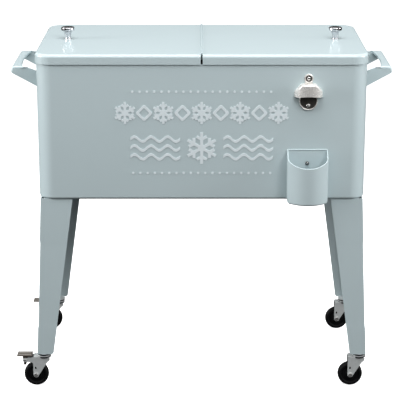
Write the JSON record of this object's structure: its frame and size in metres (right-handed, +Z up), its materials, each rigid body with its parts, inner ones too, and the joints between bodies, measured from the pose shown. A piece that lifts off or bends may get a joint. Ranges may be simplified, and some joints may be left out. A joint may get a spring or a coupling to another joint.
{
  "type": "rolling patio cooler",
  "caption": "Insulated patio cooler tub on tapered splayed legs with braked swivel casters, centre-hinged lids with knobs, side handles, wall opener and lift-off cap catcher.",
  "frame": {"origin": "on the floor directly below the centre of the tub", "axes": "+X to the cooler's right seen from the front, -Y out of the front that carries the opener and catcher, +Z up"},
  "size_m": [0.934, 0.5066, 0.877],
  "materials": {
    "powder_coat": "pale ice-blue powder coat, satin gloss",
    "emblem_coat": "raised emblem, a lighter shade of the same powder coat",
    "zinc_plate": "zinc-plated pressed steel",
    "nylon": "natural nylon",
    "foam": "closed-cell foam",
    "tub_steel": "smooth off-white tub lining",
    "black_plastic": "moulded black plastic",
    "gasket_rubber": "soft black seal",
    "polished_chrome": "polished chrome plating",
    "bright_steel": "bright nickel-plated steel",
    "cast_opener": "nickel-plated casting, tumbled smooth",
    "pedal_steel": "dark plated steel pressing",
    "wheel_black": "black moulded wheel"
  },
  "bodies": {
    "cabinet": {"outer_shell": "powder_coat", "bottom_pan": "zinc_plate", "foam_insulation": "foam", "tub_floor": "tub_steel", "tub_wall": "tub_steel", "top_rim": "black_plastic", "hinge_bridge": "powder_coat", "hinge_pin": "powder_coat", "left_front_leg": "powder_coat", "right_front_leg": "powder_coat", "left_back_leg": "powder_coat", "right_back_leg": "powder_coat", "leg_bolts": "zinc_plate", "left_handle": "powder_coat", "right_handle": "powder_coat", "handle_screws": "bright_steel", "bottle_opener": "cast_opener", "opener_screws": "bright_steel", "catcher_screw": "bright_steel", "front_emblem": "emblem_coat", "drain_spout": "black_plastic", "left_front_caster_plate": "zinc_plate", "right_front_caster_plate": "zinc_plate", "left_back_caster_plate": "zinc_plate", "right_back_caster_plate": "zinc_plate", "swivel_washers": "nylon"},
    "left_lid": {"left_lid_skin": "powder_coat", "left_lid_liner": "tub_steel", "left_lid_foam": "foam", "left_lid_gasket": "gasket_rubber", "left_hinge_leaf": "powder_coat", "left_knob": "polished_chrome", "left_knob_screw": "bright_steel"},
    "right_lid": {"right_lid_skin": "powder_coat", "right_lid_liner": "tub_steel", "right_lid_foam": "foam", "right_lid_gasket": "gasket_rubber", "right_hinge_leaf": "powder_coat", "right_knob": "polished_chrome", "right_knob_screw": "bright_steel"},
    "catcher": {"cap_catcher": "powder_coat"},
    "drain_plug": {"drain_cap": "black_plastic"},
    "left_front_swivel": {"left_front_fork": "zinc_plate", "left_front_axle": "bright_steel", "left_front_brake_pin": "bright_steel"},
    "left_front_roller": {"left_front_wheel": "wheel_black"},
    "left_front_brake": {"left_front_brake_pedal": "pedal_steel"},
    "right_front_swivel": {"right_front_fork": "zinc_plate", "right_front_axle": "bright_steel"},
    "right_front_roller": {"right_front_wheel": "wheel_black"},
    "left_back_swivel": {"left_back_fork": "zinc_plate", "left_back_axle": "bright_steel", "left_back_brake_pin": "bright_steel"},
    "left_back_roller": {"left_back_wheel": "wheel_black"},
    "left_back_brake": {"left_back_brake_pedal": "pedal_steel"},
    "right_back_swivel": {"right_back_fork": "zinc_plate", "right_back_axle": "bright_steel"},
    "right_back_roller": {"right_back_wheel": "wheel_black"}
  },
  "joints": [
    {"name": "left_lid_hinge", "type": "hinge", "parent": "cabinet", "child": "left_lid", "pos_m": [0, 0, 0.8478], "axis": [0, 1, 0], "range_deg": [0, 82]},
    {"name": "right_lid_hinge", "type": "hinge", "parent": "cabinet", "child": "right_lid", "pos_m": [0, 0, 0.8478], "axis": [0, -1, 0], "range_deg": [0, 82]},
    {"name": "catcher_lift", "type": "slide", "parent": "cabinet", "child": "catcher", "axis": [0, 0, 1], "range_m": [0, 0.012]},
    {"name": "drain_cap_unscrew", "type": "slide", "parent": "cabinet", "child": "drain_plug", "axis": [0, 1, 0], "range_m": [0, 0.012]},
    {"name": "left_front_swivel_turn", "type": "hinge", "parent": "cabinet", "child": "left_front_swivel", "pos_m": [-0.3949, -0.1995, 0.08], "axis": [0, 0, 1], "continuous": true},
    {"name": "left_front_wheel_spin", "type": "hinge", "parent": "left_front_swivel", "child": "left_front_roller", "pos_m": [-0.4159, -0.1995, 0.031], "axis": [0, 1, 0], "continuous": true},
    {"name": "left_front_brake_press", "type": "hinge", "parent": "left_front_swivel", "child": "left_front_brake", "pos_m": [-0.4439, -0.1995, 0.07], "axis": [0, -1, 0], "range_deg": [0, 20]},
    {"name": "right_front_swivel_turn", "type": "hinge", "parent": "cabinet", "child": "right_front_swivel", "pos_m": [0.3949, -0.1995, 0.08], "axis": [0, 0, 1], "continuous": true},
    {"name": "right_front_wheel_spin", "type": "hinge", "parent": "right_front_swivel", "child": "right_front_roller", "pos_m": [0.3739, -0.1995, 0.031], "axis": [0, 1, 0], "continuous": true},
    {"name": "left_back_swivel_turn", "type": "hinge", "parent": "cabinet", "child": "left_back_swivel", "pos_m": [-0.3949, 0.1995, 0.08], "axis": [0, 0, 1], "continuous": true},
    {"name": "left_back_wheel_spin", "type": "hinge", "parent": "left_back_swivel", "child": "left_back_roller", "pos_m": [-0.4159, 0.1995, 0.031], "axis": [0, 1, 0], "continuous": true},
    {"name": "left_back_brake_press", "type": "hinge", "parent": "left_back_swivel", "child": "left_back_brake", "pos_m": [-0.4439, 0.1995, 0.07], "axis": [0, -1, 0], "range_deg": [0, 20]},
    {"name": "right_back_swivel_turn", "type": "hinge", "parent": "cabinet", "child": "right_back_swivel", "pos_m": [0.3949, 0.1995, 0.08], "axis": [0, 0, 1], "continuous": true},
    {"name": "right_back_wheel_spin", "type": "hinge", "parent": "right_back_swivel", "child": "right_back_roller", "pos_m": [0.3739, 0.1995, 0.031], "axis": [0, 1, 0], "continuous": true}
  ]
}
